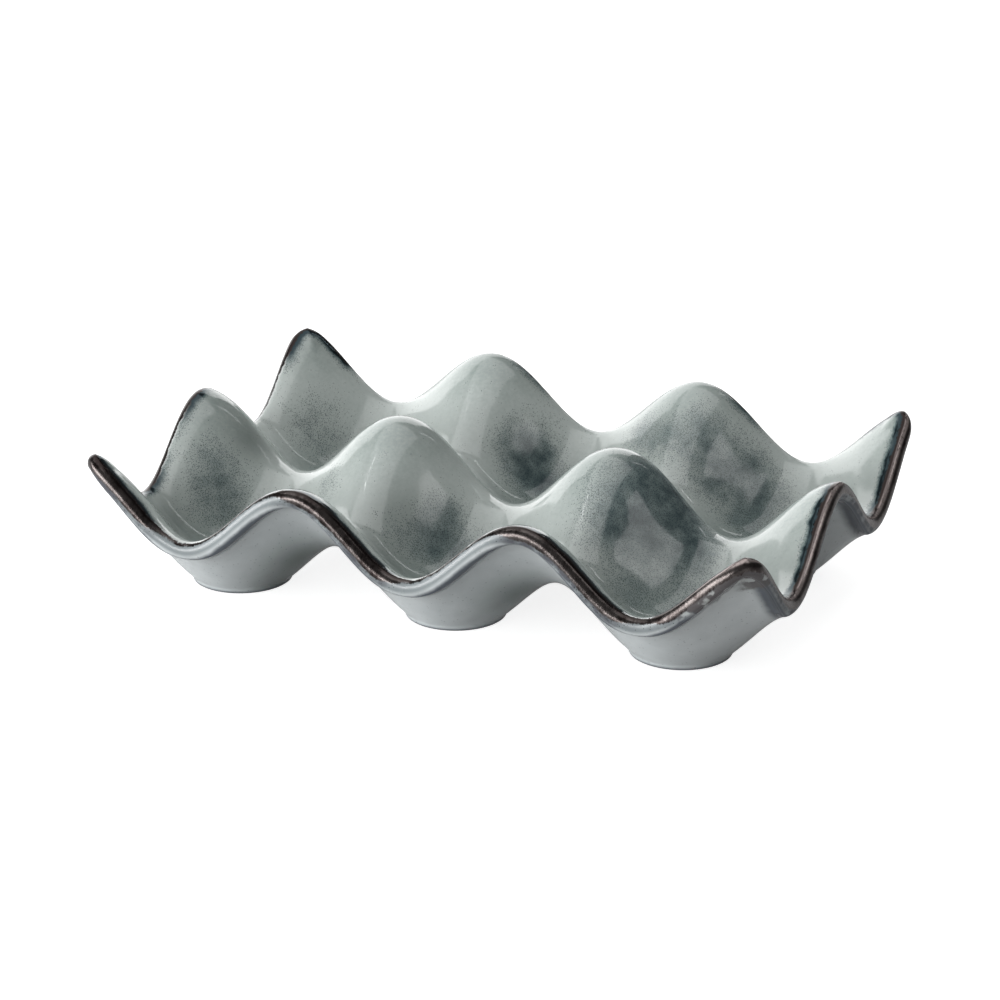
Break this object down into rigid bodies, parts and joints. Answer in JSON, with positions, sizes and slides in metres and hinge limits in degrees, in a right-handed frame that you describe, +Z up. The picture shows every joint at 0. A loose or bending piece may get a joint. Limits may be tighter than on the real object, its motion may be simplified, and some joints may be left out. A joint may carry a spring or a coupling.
{
  "type": "egg tray",
  "caption": "Wavy stoneware egg tray: rounded peaks between egg cups, a rounded rim that follows the waves, and a flat foot under each cup.",
  "frame": {"origin": "middle of the tray's outline, in the plane of the feet", "axes": "+X along the longer row of cups, +Y across it, +Z up"},
  "size_m": [0.197, 0.1342, 0.0416],
  "materials": {
    "glaze": "glossy"
  },
  "bodies": {
    "root": {"tray": "glaze"}
  },
  "joints": []
}
